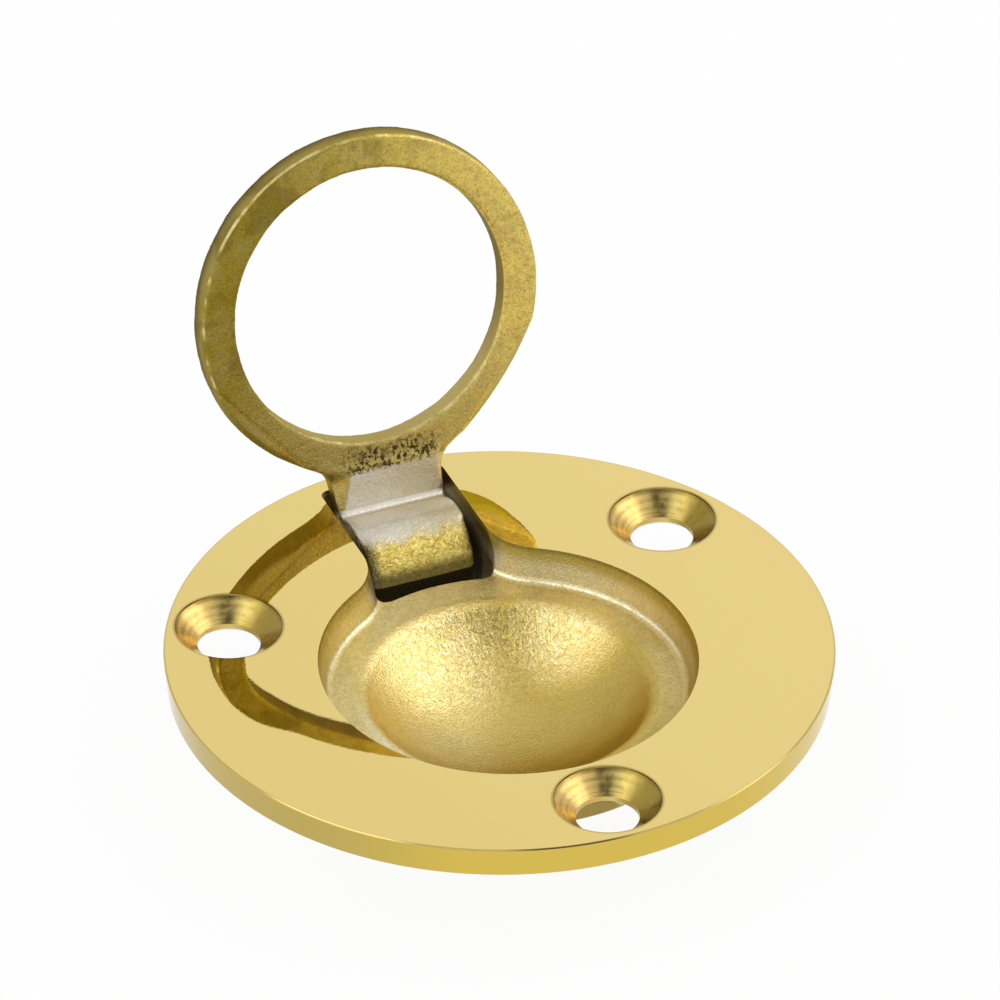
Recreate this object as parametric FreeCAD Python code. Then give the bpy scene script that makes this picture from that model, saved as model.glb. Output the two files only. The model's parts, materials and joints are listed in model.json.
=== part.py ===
import FreeCAD, Part
import math
import os

from FreeCAD import Vector

# Flush ring pull for a hatch, drawer or locker: a cast brass base with a keyhole pocket and a
# finger bowl, a cast ring handle that folds into the pocket, and the pin that carries it.
# Millimetres. The origin is the flange's centre on its mounting face, +Z out of the surface that
# the pull is let into, +Y towards the hinge. The ring is modelled raised, leaning on its stop.

# Flange and screw holes
flange_thickness = 3.0
flange_draft = 5.0
flange_edge_break = 0.12
hinge_end_land = 2.2
screw_count = 3
screw_edge_distance = 5.9
screw_hole_radius = 3.0
hole_back_break = 0.5
countersink_radius = 5.1
countersink_angle = 99.0
countersink_rim = 0.2
front_land = 0.5

# Ring handle
ring_outer_radius = 17.15
ring_width = 3.45
ring_thickness = 2.5
ring_draft = 3.0
ring_edge_break = 0.25
flank_facet_angle = 40.0
flank_facet_slope = 45.0
flank_facet_inset = 1.6
shank_length = 7.85
shank_thickness = 2.85
shank_width = 10.8
shank_edge_break = 0.3
shank_root_round = 3.0
knuckle_top_gap = 0.15
bend_round = 0.45
lean_angle = 14.0

# Pocket and finger bowl
ring_gap = 0.7
pocket_depth = 3.5
pocket_draft = 14.0
pocket_floor_round = 0.8
neck_side_play = 0.85
neck_mouth_round = 6.0
neck_corner_round = 0.9
slot_inset = 0.2
slot_corner_round = 1.4
stop_gap = 0.12
bowl_inset = 4.2
bowl_depth = 6.2
bowl_edge_round = 1.6

# Underside
boss_wall = 1.8
boss_floor = 1.7
boss_edge_break = 0.6
dome_wall = 2.1

# Hinge
hinge_depth = 4.95
pin_radius = 1.5
pin_running_clearance = 0.05
lug_width = 2.6
lug_wall = 2.6
pin_end_chamfer = 0.3

# Far enough past a face for a cut to leave it clean
CLEAR = 1.0
# Near enough for two places to count as one
NEAR = 0.01
UP = Vector(0, 0, 1)
ALONG_X = Vector(1, 0, 0)

# Sizes that follow from the ones above
ring_bore_radius = ring_outer_radius - ring_width
pocket_radius = ring_outer_radius + ring_gap
slot_front_radius = pocket_radius - slot_inset
bowl_edge_radius = pocket_radius - bowl_inset
boss_radius = pocket_radius + boss_wall
knuckle_radius = hinge_depth - knuckle_top_gap
neck_half_width = shank_width / 2 + neck_side_play
hinge_reach = ring_outer_radius + shank_length
lean = math.radians(lean_angle)
stop_reach = hinge_depth * (1 + math.sin(lean)) / math.cos(lean) + stop_gap

# The flange is as wide as the row of features along its centre line: screw, pocket, hinge, stop
flange_radius = (screw_edge_distance + countersink_radius + front_land + pocket_radius
                 + hinge_reach + stop_reach + hinge_end_land) / 2
screw_circle_radius = flange_radius - screw_edge_distance
pocket_y = pocket_radius + front_land + countersink_radius - screw_circle_radius
hinge_y = pocket_y + hinge_reach
neck_end_y = hinge_y + stop_reach

# Heights above the mounting face
top_z = flange_thickness
floor_z = top_z - pocket_depth
boss_z = floor_z - boss_floor
hinge_z = top_z - hinge_depth

# Bowl: a sphere through its edge circle and its lowest point
bowl_sphere_radius = (bowl_edge_radius ** 2 + bowl_depth ** 2) / (2 * bowl_depth)
bowl_sphere_z = floor_z - bowl_depth + bowl_sphere_radius


def wire_of(edges):
    return Part.Wire(Part.__sortEdges__(edges))


def line(a, b):
    return Part.LineSegment(a, b).toShape()


def rounded_path(corners):
    """A closed wire through (point, radius) corners, each turned by a tangent arc of that radius."""
    edges = []
    ends = []
    count = len(corners)
    for i, (corner, radius) in enumerate(corners):
        before = (corners[i - 1][0] - corner).normalize()
        after = (corners[(i + 1) % count][0] - corner).normalize()
        if radius == 0:
            ends.append((corner, corner))
            continue
        half_turn = before.getAngle(after) / 2
        start = corner + before * (radius / math.tan(half_turn))
        end = corner + after * (radius / math.tan(half_turn))
        bisector = (before + after).normalize()
        middle = corner + bisector * (radius / math.sin(half_turn) - radius)
        edges.append(Part.Arc(start, middle, end).toShape())
        ends.append((start, end))
    for i in range(count):
        edges.append(line(ends[i][1], ends[(i + 1) % count][0]))
    return wire_of(edges)


def turned(corners, axis_y):
    """A solid of revolution about the vertical line at axis_y.

    The corners are (radius, height, edge break), where the break is a chamfer's two equal legs.
    """
    points = []
    places = [Vector(radius, axis_y, z) for radius, z, _ in corners]
    for i, place in enumerate(places):
        edge_break = corners[i][2]
        if edge_break == 0:
            points.append(place)
            continue
        before = (places[i - 1] - place).normalize()
        after = (places[(i + 1) % len(places)] - place).normalize()
        points.append(place + before * edge_break)
        points.append(place + after * edge_break)
    profile = Part.Face(Part.makePolygon(points + points[:1]))
    return profile.revolve(Vector(0, axis_y, 0), UP, 360)


def circle_edges(shape, radius, z):
    """The full circles of a shape that have this radius and height."""
    found = []
    for edge in shape.Edges:
        if edge.Degenerated or not isinstance(edge.Curve, Part.Circle):
            continue
        curve = edge.Curve
        if abs(curve.Radius - radius) < NEAR and abs(curve.Center.z - z) < NEAR:
            found.append(edge)
    return found


# The keyhole pocket's outline, drawn in by a margin: the ring's circle, two flared corners and
# the neck's two sides, closed by a half circle that lies inside the slot
def keyhole(inset, z):
    radius = pocket_radius - inset
    half_width = neck_half_width - inset
    flare = neck_mouth_round + inset
    flare_x = half_width + flare
    flare_y = pocket_y + math.sqrt((radius + flare) ** 2 - flare_x ** 2)
    end_y = flare_y + CLEAR

    def at(x, y):
        return Vector(x, y, z)

    def on_circle(x, y, r, degrees):
        a = math.radians(degrees)
        return at(x + r * math.cos(a), y + r * math.sin(a))

    joint_angle = math.degrees(math.atan2(flare_y - pocket_y, flare_x))
    flare_middle = (180 + 180 + joint_angle) / 2
    right_joint = on_circle(0, pocket_y, radius, joint_angle)
    left_joint = on_circle(0, pocket_y, radius, 180 - joint_angle)
    edges = [
        Part.Arc(left_joint, at(0, pocket_y - radius), right_joint).toShape(),
        Part.Arc(right_joint, on_circle(flare_x, flare_y, flare, flare_middle),
                 at(half_width, flare_y)).toShape(),
        line(at(half_width, flare_y), at(half_width, end_y)),
        Part.Arc(at(half_width, end_y), at(0, end_y + half_width), at(-half_width, end_y)).toShape(),
        line(at(-half_width, end_y), at(-half_width, flare_y)),
        Part.Arc(at(-half_width, flare_y), on_circle(-flare_x, flare_y, flare, 180 - flare_middle),
                 left_joint).toShape(),
    ]
    return wire_of(edges)


def pocket_cutter():
    """The drafted keyhole with a rounded floor edge."""
    slope = math.tan(math.radians(pocket_draft))
    mouth = keyhole(-slope * CLEAR, top_z + CLEAR)
    floor = keyhole(slope * pocket_depth, floor_z)
    body = Part.makeLoft([floor, mouth], True, True)
    floor_edges = [e for e in body.Edges if e.BoundBox.ZMax < floor_z + NEAR]
    return body.makeFillet(pocket_floor_round, floor_edges)


def bowl_cutter():
    ball = Part.makeSphere(bowl_sphere_radius, Vector(0, pocket_y, bowl_sphere_z))
    cap = Part.makeCylinder(bowl_edge_radius, pocket_depth + bowl_depth,
                            Vector(0, pocket_y, floor_z - bowl_depth))
    return ball.common(cap)


def slot_cutter():
    """The opening through the floor that the knuckle turns in, up to the ring's stop."""
    front_y = pocket_y + math.sqrt(slot_front_radius ** 2 - neck_half_width ** 2)
    far = [(Vector(-neck_half_width, neck_end_y, 0), neck_corner_round),
           (Vector(neck_half_width, neck_end_y, 0), neck_corner_round)]
    near = [(Vector(neck_half_width, front_y, 0), 0),
            (Vector(-neck_half_width, front_y, 0), 0)]
    depth = hinge_depth + knuckle_radius + dome_wall + CLEAR
    down = Vector(0, 0, -(depth + CLEAR))
    start = Vector(0, 0, top_z + CLEAR)
    block = Part.Face(rounded_path(far + near)).extrude(down)
    lip = Part.makeCylinder(slot_front_radius, depth + CLEAR, Vector(0, pocket_y, 0), down)
    block = block.cut(lip)
    corners = [e for e in block.Edges
               if isinstance(e.Curve, Part.Line) and e.Length > depth
               and e.BoundBox.YMax < front_y + NEAR]
    block = block.makeFillet(slot_corner_round, corners)
    block.translate(start)
    return block


def screw_cutters():
    half_angle = math.radians(countersink_angle / 2)
    cone_depth = (countersink_radius - screw_hole_radius) / math.tan(half_angle)
    rim_z = top_z - countersink_rim
    back_radius = screw_hole_radius + hole_back_break
    profile = [(0, -CLEAR, 0), (back_radius, -CLEAR, 0), (back_radius, 0, 0),
               (screw_hole_radius, hole_back_break, 0), (screw_hole_radius, rim_z - cone_depth, 0),
               (countersink_radius, rim_z, 0), (countersink_radius, top_z + CLEAR, 0),
               (0, top_z + CLEAR, 0)]
    for i in range(screw_count):
        angle = math.radians(-90 + 360 / screw_count * i)
        cutter = turned(profile, 0)
        cutter.translate(Vector(math.cos(angle), math.sin(angle), 0) * screw_circle_radius)
        yield cutter


def flange():
    foot_radius = flange_radius - flange_thickness * math.tan(math.radians(flange_draft))
    return turned([(0, 0, 0), (foot_radius, 0, 0), (flange_radius, top_z, flange_edge_break),
                   (0, top_z, 0)], 0)


def bowl_backing():
    """The boss behind the pocket and the dome behind the bowl."""
    boss = turned([(0, boss_z, 0), (boss_radius, boss_z, boss_edge_break),
                   (boss_radius, top_z / 2, 0), (0, top_z / 2, 0)], pocket_y)
    dome_radius = bowl_sphere_radius + dome_wall
    ball = Part.makeSphere(dome_radius, Vector(0, pocket_y, bowl_sphere_z))
    above = Part.makeCylinder(2 * dome_radius, 3 * dome_radius,
                              Vector(0, pocket_y, boss_z + boss_floor / 2))
    return boss.fuse(ball.cut(above))


def lug(side):
    """One cheek of the hinge: a rounded ear under the flange, beside the slot."""
    radius = pin_radius + lug_wall
    x = neck_half_width if side > 0 else -neck_half_width - lug_width
    ear = Part.makeCylinder(radius, lug_width, Vector(x, hinge_y, hinge_z), ALONG_X)
    web = Part.makeBox(lug_width, 2 * radius, top_z / 2 - hinge_z,
                       Vector(x, hinge_y - radius, hinge_z))
    return ear.fuse(web)


def pin_hole(radius):
    reach = neck_half_width + lug_width + CLEAR
    return Part.makeCylinder(radius, 2 * reach, Vector(-reach, hinge_y, hinge_z), ALONG_X)


def base_plate():
    body = flange().fuse([bowl_backing(), lug(1), lug(-1)]).removeSplitter()
    body = body.cut([pocket_cutter(), bowl_cutter()])
    body = body.makeFillet(bowl_edge_round, circle_edges(body, bowl_edge_radius, floor_z))
    body = body.cut([slot_cutter(), pin_hole(pin_radius)])
    return body.cut(list(screw_cutters())).removeSplitter()


def hinge_pin():
    half_length = neck_half_width + lug_width
    pin = Part.makeCylinder(pin_radius, 2 * half_length, Vector(-half_length, hinge_y, hinge_z), ALONG_X)
    ends = [e for e in pin.Edges if isinstance(e.Curve, Part.Circle)]
    return pin.makeChamfer(pin_end_chamfer, ends)


# The handle is drawn folded flat, ring centre over the bowl, and then swung up to its stop.
# Its top face is level with the flange and its under face looks at the bowl.
ring_under_z = top_z - ring_thickness


def ring_band():
    taper = ring_thickness * math.tan(math.radians(ring_draft))
    return turned([(ring_bore_radius, ring_under_z, ring_edge_break),
                   (ring_outer_radius - taper, ring_under_z, ring_edge_break),
                   (ring_outer_radius, top_z, ring_edge_break),
                   (ring_bore_radius, top_z, ring_edge_break)], pocket_y)


def flank_facet(side):
    """A slab outside a sloping plane that bevels the ring's under edge beside the shank."""
    distance = ring_outer_radius - flank_facet_inset
    size = 2 * ring_outer_radius
    slab = Part.makeBox(size, size, size, Vector(0, -size / 2, 0))
    slab.rotate(Vector(0, 0, 0), Vector(0, 1, 0), flank_facet_slope)
    slab.translate(Vector(distance, 0, 0))
    slab.rotate(Vector(0, 0, 0), UP, 90 - side * (90 - flank_facet_angle))
    slab.translate(Vector(0, pocket_y, ring_under_z))
    return slab


def shank_side_face():
    """Side view of the shank and knuckle at x = 0: a straight shank, a bend and a round knuckle."""
    shank_under_z = top_z - shank_thickness
    bend_rise = shank_under_z - hinge_z
    bend_y = hinge_y - math.sqrt(knuckle_radius ** 2 - bend_rise ** 2)
    root_y = pocket_y + (ring_bore_radius + ring_outer_radius) / 2
    face_end_y = pocket_y + ring_outer_radius - ring_width / 4
    back = Vector(0, hinge_y - knuckle_radius / 2, top_z)
    axis = Vector(0, hinge_y, hinge_z)
    toward = back - axis
    tangent_turn = math.acos(knuckle_radius / toward.Length)
    tangent_angle = math.atan2(toward.z, toward.y) - tangent_turn
    tangent = axis + Vector(0, math.cos(tangent_angle), math.sin(tangent_angle)) * knuckle_radius
    bend = Vector(0, bend_y, shank_under_z)
    under = axis - UP * knuckle_radius
    face_end = Vector(0, face_end_y, shank_under_z)
    root_under = Vector(0, root_y, ring_under_z)
    root_top = Vector(0, root_y, top_z)
    edges = [line(root_top, back), line(back, tangent), Part.Arc(tangent, under, bend).toShape(),
             line(bend, face_end), line(face_end, root_under), line(root_under, root_top)]
    return Part.Face(wire_of(edges))


def is_bend(edge):
    """True for the inner corner where the shank's under face meets the knuckle."""
    box = edge.BoundBox
    level = abs(box.ZMin - box.ZMax) < NEAR and abs(box.ZMin - top_z + shank_thickness) < NEAR
    across = box.XLength > shank_width / 2
    return level and across and box.YMin > pocket_y + ring_outer_radius


def is_under_rim(edge):
    """True for the side edges of the shank's under face and of the knuckle."""
    box = edge.BoundBox
    at_side = box.XLength < NEAR and box.YMax > pocket_y + ring_outer_radius
    return at_side and box.ZMax < top_z - NEAR


def shank_and_knuckle():
    side_view = shank_side_face()
    side_view.translate(ALONG_X * (-shank_width / 2))
    body = side_view.extrude(ALONG_X * shank_width)
    body = body.makeFillet(bend_round, [e for e in body.Edges if is_bend(e)])
    return body.makeChamfer(shank_edge_break, [e for e in body.Edges if is_under_rim(e)])


def root_outline(ring_radius, z):
    """Plan of the two webs that flare from the ring's rim into the shank's sides."""
    half_width = shank_width / 2
    flare_x = half_width + shank_root_round
    reach = math.sqrt((ring_radius + shank_root_round) ** 2 - flare_x ** 2)
    flare_y = pocket_y + reach
    joint_angle = math.atan2(reach, flare_x)
    joint_x = ring_radius * math.cos(joint_angle)
    joint_y = pocket_y + ring_radius * math.sin(joint_angle)
    middle_angle = (math.pi + math.pi + joint_angle) / 2
    middle_x = flare_x + shank_root_round * math.cos(middle_angle)
    middle_y = flare_y + shank_root_round * math.sin(middle_angle)
    right = Part.Arc(Vector(joint_x, joint_y, z), Vector(middle_x, middle_y, z),
                     Vector(half_width, flare_y, z)).toShape()
    left = Part.Arc(Vector(-joint_x, joint_y, z), Vector(-middle_x, middle_y, z),
                    Vector(-half_width, flare_y, z)).toShape()
    across = line(Vector(joint_x, joint_y, z), Vector(-joint_x, joint_y, z))
    foot = line(Vector(half_width, flare_y, z), Vector(-half_width, flare_y, z))
    return wire_of([right, foot, left, across])


def shank_root():
    taper = ring_thickness * math.tan(math.radians(ring_draft))
    under = root_outline(ring_outer_radius - taper, ring_under_z)
    top = root_outline(ring_outer_radius, top_z)
    return Part.makeLoft([under, top], True, True)


def ring_handle():
    band = ring_band().fuse(shank_root()).cut([flank_facet(1), flank_facet(-1)])
    body = band.fuse(shank_and_knuckle()).removeSplitter()
    body = body.cut(pin_hole(pin_radius + pin_running_clearance))
    swing = 90 + lean_angle
    body.rotate(Vector(0, hinge_y, hinge_z), ALONG_X, -swing)
    return body


def save(name, shape):
    solid = shape.Solids[0] if len(shape.Solids) == 1 else shape
    print(name, "valid", solid.isValid(), "solids", len(shape.Solids), "volume", round(solid.Volume, 1))
    solid.exportStep("parts/" + name + ".step")


def main():
    os.makedirs("parts", exist_ok=True)
    save("base_plate", base_plate())
    save("hinge_pin", hinge_pin())
    save("ring_handle", ring_handle())
    print("flange radius", flange_radius, "screw circle", 2 * screw_circle_radius)
    print("pocket centre y", pocket_y, "hinge y z", hinge_y, hinge_z, "neck end", neck_end_y)


main()
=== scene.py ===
import json
import math
from types import SimpleNamespace

import bmesh
import bpy
from mathutils import Matrix, Vector, noise


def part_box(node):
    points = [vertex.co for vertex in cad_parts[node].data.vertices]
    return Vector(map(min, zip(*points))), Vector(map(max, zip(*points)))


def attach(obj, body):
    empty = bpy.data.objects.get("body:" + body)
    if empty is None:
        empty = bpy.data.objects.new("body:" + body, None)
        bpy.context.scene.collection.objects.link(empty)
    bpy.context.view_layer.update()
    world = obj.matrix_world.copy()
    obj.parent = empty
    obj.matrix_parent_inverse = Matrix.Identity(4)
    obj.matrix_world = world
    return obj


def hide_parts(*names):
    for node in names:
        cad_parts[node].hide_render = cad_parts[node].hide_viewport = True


# Looks for a flush brass ring pull: a mirror polished flange with turned screw seats, a pocket and
# bowl left as cast, and a cast ring handle in dull brass with a bare grey shank. Metres throughout.
MM = 0.001

# Camera: a long lens, aimed so that the flange's centre falls below the picture's middle
CAMERA_AZIMUTH = -23.11
CAMERA_ELEVATION = 36.514
CAMERA_ROLL = 0.263
CAMERA_DISTANCE = 1.3
LENS = 499.5
SENSOR = 36.0
IMAGE_SIZE = 1000
ORIGIN_PX = (499.466, 646.585)

# Studio: white all round, with a soft box on each side and a dark room behind the camera.
# Each patch of sky has a direction, its core and its edge in degrees, and its tone.
STUDIO = 0.9
ROOM_TOP = (Vector((-0.12, -0.45, 0.89)), 7, 19, 0.1)
ROOM_FRONT = (Vector((0.05, -0.75, 0.66)), 7, 19, 0.2)
ZENITH = (Vector((0.02, 0.15, 0.98)), 5, 18, 0.85)
RIGHT_BOX = (Vector((0.74, -0.15, 0.65)), 12, 26, 2.2)
LEFT_BOX = (Vector((-0.75, -0.08, 0.66)), 11, 25, 2.0)
SEEN_STUDIO = 1.0
FLOOR_GLOW = 0.94
FLOOR_CLOTH = (0.9, 0.9, 0.9, 1)
FLOOR_SIZE = 3.0

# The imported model, and its box before anything is added
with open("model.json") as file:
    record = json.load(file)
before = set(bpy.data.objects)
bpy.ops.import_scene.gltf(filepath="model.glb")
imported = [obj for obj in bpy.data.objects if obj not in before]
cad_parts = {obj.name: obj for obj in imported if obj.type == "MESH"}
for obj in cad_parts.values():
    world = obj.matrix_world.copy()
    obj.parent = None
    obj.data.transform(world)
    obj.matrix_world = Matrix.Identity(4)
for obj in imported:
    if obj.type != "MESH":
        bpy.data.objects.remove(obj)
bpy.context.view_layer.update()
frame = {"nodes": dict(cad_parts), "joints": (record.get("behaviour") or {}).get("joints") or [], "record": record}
nodes = frame["nodes"]

# The handle's own axes at rest: it leans back from upright by the joint's travel past a right angle
joint = frame["joints"][0]
hinge = Vector(joint["pos_m"])
lean = math.radians(joint["range_deg"][1] - 90)
HANDLE_FRONT = Vector((0, -math.cos(lean), math.sin(lean)))
HANDLE_DOWN = Vector((0, -math.sin(lean), -math.cos(lean)))
UP = Vector((0, 0, 1))
ACROSS = Vector((1, 0, 0))
BACK = Vector((0, 1, 0))
ACROSS_VIEW = Vector((0.92, -0.39, 0))

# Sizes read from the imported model
base_low, base_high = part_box("base_plate")
plate_top = base_high.z
flange_radius = base_high.x
screws = [m for m in frame["record"]["mounts"] if m["name"] == "screws"][0]
screw_circle = screws["dims"]["pcd_mm"] * MM / 2
SCREW_ANGLES = (-90, 30, 150)
SEAT_RADIUS = 5.15 * MM

# Sizes of the handle and the pocket, as the model has them
RING_THICKNESS = 2.5 * MM
RING_RADIUS = 17.15 * MM
RING_BORE = 13.7 * MM
RING_MIDDLE = (RING_RADIUS + RING_BORE) / 2
RING_REACH = 25.0 * MM
HINGE_DEPTH = 4.95 * MM
SHANK_HALF_WIDTH = 5.4 * MM
SHANK_PROUD = 0.35 * MM
KNUCKLE_RADIUS = 4.8 * MM
BEND = 20.2 * MM
FACET_TOP = 15.8 * MM
FACET_ORIGIN = 16 * MM
FACET_START = -3.7 * MM
FACET_SLANT = 0.32
POCKET_RADIUS = 17.85 * MM
POCKET_DEPTH = 3.5 * MM
FILLET_LINE = -3.28 * MM
NECK_START = 17.0 * MM
BOWL_RADIUS = 13.65 * MM
POCKET_CENTRE = Vector((0, hinge.y - RING_REACH, plate_top))
RING_CENTRE = hinge - HANDLE_DOWN * RING_REACH - HANDLE_FRONT * (HINGE_DEPTH - RING_THICKNESS)

# Which faces of the base are its top, its rim and its seats
TOP_SKIN = 0.02 * MM
RIM_BAND = 0.5 * MM
ABOVE_BACK = 0.01 * MM

# The handle's cast skin: its voxels, its softened edges and its lumps
CAST_VOXEL = 0.2 * MM
WELD = 0.001 * MM
SMOOTHING = 0.5
SMOOTHING_ROUNDS = 3
LUMP_SIZE = 3.5 * MM
LUMP_HEIGHT = 0.05 * MM
FINE_LUMP_SHARE = 0.4
FINE_LUMPS = 3
BORE_KEEP_OUT = 2.4 * MM

# The knuckle's rounded ends and the facet on the shank's left edge
KNUCKLE_END_ROUND = 1.1 * MM
KNUCKLE_END_SHARE = 0.6
KNUCKLE_CORE = 0.5
KNUCKLE_CORE_FADE = 0.4
KNUCKLE_START = BEND + 1 * MM
FACET_SLOPE = 1.0
FACET_FADE_IN = 1.5 * MM
FACET_FADE_OUT = 0.8 * MM


def linear(r, g, b):
    """A colour in linear light from one measured in 0 to 255 steps."""
    def channel(value):
        value /= 255
        return value / 12.92 if value <= 0.04045 else ((value + 0.055) / 1.055) ** 2.4
    return (channel(r), channel(g), channel(b), 1.0)


PLATE_GOLD = linear(237, 213, 134)
PLATE_LIT_PALE = linear(242, 217, 140)
PLATE_EDGE_SHADE = linear(150, 126, 52)
RIM_SHADED_GOLD = linear(214, 186, 84)
RIM_LEFT_SHADE = linear(190, 168, 92)
SEAT_LIT_PALE = linear(216, 182, 112)
SEAT_GOLD = linear(222, 198, 118)
SEAT_OLIVE = linear(160, 138, 66)
SEAT_EDGE_SHADE = linear(120, 100, 44)
BOWL_GLINT = linear(255, 244, 202)
BOWL_HIGHLIGHT = linear(255, 230, 150)
BOWL_LIT_TAN = linear(236, 216, 138)
BOWL_OLIVE = linear(206, 180, 86)
BOWL_LIT_FRONT = linear(252, 250, 212)
BOWL_SHADE = linear(164, 138, 58)
FLOOR_LIT_TAN = linear(238, 221, 156)
FLOOR_GREY = linear(224, 204, 140)
FLOOR_NEAR_SHADE = linear(194, 173, 98)
WALL_SHADED_OLIVE = linear(196, 178, 94)
WALL_LIT_PALE = linear(242, 234, 206)
BRINK_SHADOW_BROWN = linear(88, 72, 20)
FILLET_HIGHLIGHT = linear(255, 246, 220)
STAIN = linear(158, 138, 86)
# Near-black painted shade for the slot, the neck's depths and the gap below the knuckle
SHADE_COVER_BROWN = linear(44, 37, 19)
NECK_SHADE = linear(104, 92, 64)
SCREW_BORE_SHADE = linear(150, 130, 70)
RING_LIT_GOLD = linear(238, 212, 114)
RING_OLIVE = linear(158, 139, 46)
RING_TAN = linear(196, 178, 118)
RING_BROWN = linear(84, 70, 26)
RING_BORE_SHADE = linear(120, 104, 62)
UNDER_SHADE_OLIVE = linear(118, 100, 26)
UNDER_GOLD = linear(198, 184, 60)
FLANK_TAN = linear(163, 147, 84)
FLANK_SHADE = linear(72, 66, 54)
EDGE_HIGHLIGHT_GOLD = linear(250, 230, 160)
SHANK_GREY = linear(230, 224, 212)
SHANK_TAN = linear(214, 202, 170)
SHANK_SHADE = linear(128, 121, 104)
BEND_HIGHLIGHT = linear(252, 248, 238)
NOSE_GOLD = linear(255, 238, 144)
NOSE_SHADE = linear(218, 182, 76)
KNUCKLE_SHADE = linear(100, 85, 42)
KNUCKLE_END_SHADE = linear(104, 97, 78)
PIT_BROWN = linear(56, 47, 30)
PIN_GOLD = linear(214, 190, 120)
BRASS_EDGE = linear(224, 212, 180)

# In the settings below, a range gives the two lengths or noise levels at which a mask is 0 and 1.
# Where two more numbers follow, the mask has those values there instead. A share is the weight that
# a mask has at its fullest, a relief is the height of a bump, and a noise holds its lump size and
# then, where they are given, its detail, roughness and distortion.
# The sheen of the near-black painted shade
SHADE_COVER_SHEEN = 0.1

# Buffing: how far in from each edge the flange falls off, and how steeply at the edge
POCKET_FALL = 5.0 * MM
POCKET_TILT = 0.050
RIM_FALL = 13.0 * MM
RIM_TILT = 0.040

# Polished flange: a thin line of painted shade along the rim and round each seat, and a rim in painted shade that
# is darker still on the left
RIM_LINE = (0.2 * MM, 0.12 * MM)
RIM_LINE_DEPTH = (-0.2 * MM, -0.1 * MM)
RIM_LINE_SHARE = 0.5
LIP_LINE = (0.18 * MM, 0.08 * MM)
LIP_LINE_DEPTH = (-0.3 * MM, -0.1 * MM)
LIP_LINE_SHARE = 0.45
RIM_WALL = (-0.1 * MM, -0.2 * MM)
RIM_SHADE_SIDE = (-14 * MM, -27 * MM)
WAVE_NOISE = (9 * MM, 1.0)
WAVE_RELIEF = 0.006 * MM
HAZE_NOISE = (0.25 * MM, 2.0)
HAZE_RELIEF = 0.0004 * MM
MIRROR_ROUGHNESS = 0.02

# Turned seats: left and right are shares of the way across a seat, from -1 to 1
NEAR_SEAT = (SEAT_RADIUS + 1 * MM, SEAT_RADIUS)
SEAT_ANISOTROPY = 0.6
CUTTER_RING = 0.30 * MM
CUTTER_SHADE = (0.6, 0.35)
SEAT_NOISE = (1.1 * MM, 3.0, 0.6)
SEAT_WEAR = (0.35, 0.6, 0.2, 0.6)
SEAT_LEFT = (-0.75, 0.1)
SEAT_RIGHT = (0.1, 0.75)
SEAT_EDGE = (SEAT_RADIUS - 0.4 * MM, SEAT_RADIUS, 0.0, 0.7)
SEAT_ROUGHNESS = (0.3, 0.7, 0.15, 0.3)

# Cast base: its relief
SWELL_NOISE = (4 * MM, 1.0)
SWELL_RELIEF = 0.10 * MM
GRAIN_NOISE = (0.2 * MM, 2.0)
GRAIN_RELIEF = 0.05 * MM
GRAIN_STAIN = (0.42, 0.6, 0.0, 0.26)
CRINKLE_NOISE = (0.7 * MM, 3.0, 0.5, 2.0)
CRINKLE_RELIEF = 0.115 * MM
CRINKLED_BACK = (0.0, 9 * MM, 0.06, 1.0)
CRINKLED_RIGHT = (-11 * MM, -3 * MM, 0.5, 1.0)

# Cast base: the bowl, painted tan toward the left, with a painted highlight patch on the left and one on the
# right, painted glints on its crinkles and painted shade in their hollows
BOWL_BRINK = (BOWL_RADIUS + 1.4 * MM, BOWL_RADIUS + 0.2 * MM)
BOWL_LEFT = (8 * MM, -10 * MM)
BOWL_NEAR = (6 * MM, -4 * MM)
BOWL_NEAR_LEFT = (0.0, -10 * MM, 0.1, 1.0)
LEFT_PATCH = Vector((-5.0, 10.8, 0)) * MM
LEFT_GLOW = (11 * MM, 3 * MM)
RIGHT_PATCH = Vector((9.8, 8.8, 0)) * MM
RIGHT_GLOW = (7.5 * MM, 2 * MM, 0.0, 0.9)
HOLLOWS = (0.52, 0.34)
HOLLOW_SHARE = 0.3
RIDGES = (0.50, 0.68)
RIDGE_SHARE = 0.8
BOWL_ROUGHNESS = (0, 1, 0.34, 0.27)

# Cast base: the pocket's floor and its wall in painted light and shade, a painted shadow along the brink, and the
# painted highlight on the fillet between floor and wall
FLOOR_RIGHT = (-12 * MM, 8 * MM)
FLOOR_NEAR = (-3 * MM, -13 * MM)
STAIN_NOISE = (0.9 * MM, 4.0, 0.7)
STAIN_LEVELS = (0.42, 0.66)
STAIN_SHARE = 0.22
WALL_SHADE = (-1.9 * MM, -0.6 * MM)
WALL_FOOT = (-3.3 * MM, -2.9 * MM)
WALL_BACK = (-12 * MM, -4 * MM)
WALL_RIGHT = (-9 * MM, 0, 0.6, 1.0)
WALL_STAIN = (0.0, 1.0, 0.75, 1.0)
BRINK = (-0.6 * MM, -0.1 * MM)
BRINK_BACK = (-4 * MM, 4 * MM)
BRINK_SHARE = 0.5
FILLET_FOOT = (FILLET_LINE - 0.10 * MM, FILLET_LINE)
FILLET_TOP = (FILLET_LINE + 0.14 * MM, FILLET_LINE + 0.04 * MM)
FILLET_BACK = (-5 * MM, 1 * MM)
FILLET_STAIN = (1.0, 0.2, 0.25, 0.9)
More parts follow.
